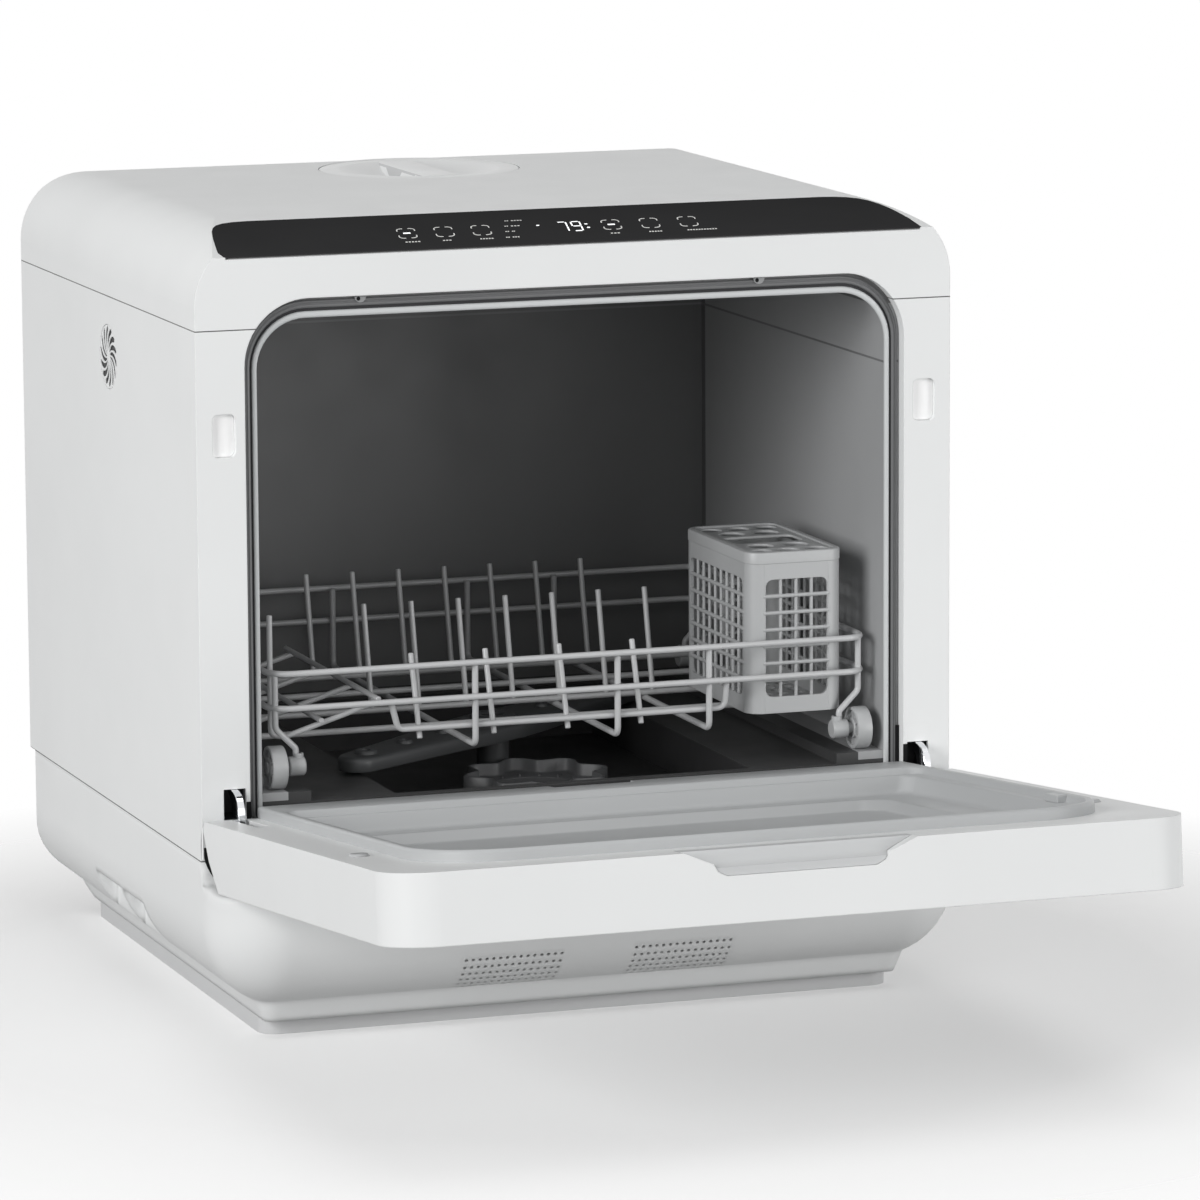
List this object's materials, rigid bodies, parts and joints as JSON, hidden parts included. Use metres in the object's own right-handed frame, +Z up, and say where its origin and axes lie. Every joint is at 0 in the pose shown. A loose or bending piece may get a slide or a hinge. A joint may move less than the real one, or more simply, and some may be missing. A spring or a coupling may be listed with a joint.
{
  "type": "countertop dishwasher",
  "caption": "Compact countertop dishwasher with a drop-down door, rolling wire rack, cutlery basket, spray arm, control panel and a round cap over its built-in water tank",
  "frame": {"origin": "centre of the flat underside that stands on the worktop", "axes": "X to the right as seen from the front, Y from the door side to the back, Z up"},
  "size_m": [0.42, 0.6963, 0.425],
  "materials": {
    "white_shell": "satin moulded",
    "white_cap": "satin moulded",
    "panel_black": "gloss",
    "panel_marks": "printed",
    "lit_digits": "lit",
    "circuit_green": "lacquered board",
    "tub_grey": "moulded",
    "liner_grey": "satin moulded",
    "soft_rubber": "soft",
    "bright_steel": "plated",
    "plain_steel": "brushed",
    "dark_plastic": "moulded",
    "duct_grey": "moulded",
    "tank_plastic": "translucent white",
    "spray_grey": "moulded",
    "coated_wire": "nylon coated",
    "rack_grey": "moulded"
  },
  "bodies": {
    "cabinet": {"base_shell": "white_shell", "base_tray": "white_shell", "body_shell": "white_shell", "back_panel": "white_shell", "top_cover": "white_shell", "frame_pads": "white_shell", "side_vent": "white_shell", "control_panel": "panel_black", "key_marks": "panel_marks", "display_digits": "lit_digits", "control_board": "circuit_green", "power_board": "circuit_green", "tub": "tub_grey", "gasket_trim": "liner_grey", "door_gasket": "soft_rubber", "foot_pads": "soft_rubber", "hinge_arms": "bright_steel", "hinge_pins": "bright_steel", "back_screws": "plain_steel", "latch_receivers": "plain_steel", "heater": "plain_steel", "hinge_slots": "dark_plastic", "sump": "dark_plastic", "wash_pump": "dark_plastic", "drain_pump": "dark_plastic", "fan_motor": "dark_plastic", "cord_gland": "dark_plastic", "hose_sockets": "dark_plastic", "inlet_valve": "dark_plastic", "fan_housing": "duct_grey", "feed_pipe": "duct_grey", "tank_pipe": "duct_grey", "drain_pipe": "duct_grey", "tank_neck": "duct_grey", "water_tank": "tank_plastic", "spray_hub": "spray_grey"},
    "door": {"door_shell": "white_shell", "door_liner": "liner_grey", "grip_insert": "liner_grey", "door_bumpers": "liner_grey", "hinge_blocks": "duct_grey", "corner_clip": "liner_grey"},
    "rack": {"rack_rails": "coated_wire", "rack_floor": "coated_wire", "rack_tines": "coated_wire", "cup_shelf": "coated_wire", "wheel_stubs": "rack_grey"},
    "wheel_fl": {"rack_wheel_fl": "rack_grey"},
    "wheel_fr": {"rack_wheel_fr": "rack_grey"},
    "wheel_rl": {"rack_wheel_rl": "rack_grey"},
    "wheel_rr": {"rack_wheel_rr": "rack_grey"},
    "basket": {"basket_body": "rack_grey", "basket_lid": "rack_grey"},
    "spray": {"spray_arm": "spray_grey", "spray_nozzles": "spray_grey"},
    "filter": {"filter_ring": "spray_grey", "filter_mesh": "plain_steel"},
    "tank_lid": {"tank_cap": "white_cap", "cap_seal": "soft_rubber"},
    "fan": {"fan_rotor": "duct_grey"}
  },
  "joints": [
    {"name": "door_hinge", "type": "hinge", "parent": "cabinet", "child": "door", "pos_m": [0, -0.1959, 0.1024], "axis": [-1, 0, 0], "range_deg": [0, 84.1]},
    {"name": "rack_slide", "type": "slide", "parent": "cabinet", "child": "rack", "axis": [0, 1, 0], "range_m": [-0.115, 0]},
    {"name": "wheel_fl_roll", "type": "hinge", "parent": "rack", "child": "wheel_fl", "pos_m": [-0.16445, -0.16, 0.1405], "axis": [1, 0, 0], "continuous": true},
    {"name": "wheel_fr_roll", "type": "hinge", "parent": "rack", "child": "wheel_fr", "pos_m": [0.16445, -0.16, 0.1405], "axis": [1, 0, 0], "continuous": true},
    {"name": "wheel_rl_roll", "type": "hinge", "parent": "rack", "child": "wheel_rl", "pos_m": [-0.16445, 0.084, 0.1405], "axis": [1, 0, 0], "continuous": true},
    {"name": "wheel_rr_roll", "type": "hinge", "parent": "rack", "child": "wheel_rr", "pos_m": [0.16445, 0.084, 0.1405], "axis": [1, 0, 0], "continuous": true},
    {"name": "basket_lift", "type": "slide", "parent": "rack", "child": "basket", "axis": [0, 0, 1], "range_m": [0, 0.12]},
    {"name": "spray_spin", "type": "hinge", "parent": "cabinet", "child": "spray", "pos_m": [0, -0.027, 0.125], "axis": [0, 0, 1], "continuous": true},
    {"name": "filter_turn", "type": "hinge", "parent": "cabinet", "child": "filter", "pos_m": [0.007, -0.08, 0.1], "axis": [0, 0, 1], "range_deg": [0, 40]},
    {"name": "cap_lift", "type": "slide", "parent": "cabinet", "child": "tank_lid", "axis": [0, 0, 1], "range_m": [0, 0.06]},
    {"name": "fan_spin", "type": "hinge", "parent": "cabinet", "child": "fan", "pos_m": [-0.1965, -0.0065, 0.342], "axis": [1, 0, 0], "continuous": true}
  ],
  "couplings": [
    {"joint": "wheel_fl_roll", "follows": "rack_slide", "rad_per_m": -86.957},
    {"joint": "wheel_fr_roll", "follows": "rack_slide", "rad_per_m": -86.957},
    {"joint": "wheel_rl_roll", "follows": "rack_slide", "rad_per_m": -86.957},
    {"joint": "wheel_rr_roll", "follows": "rack_slide", "rad_per_m": -86.957}
  ]
}
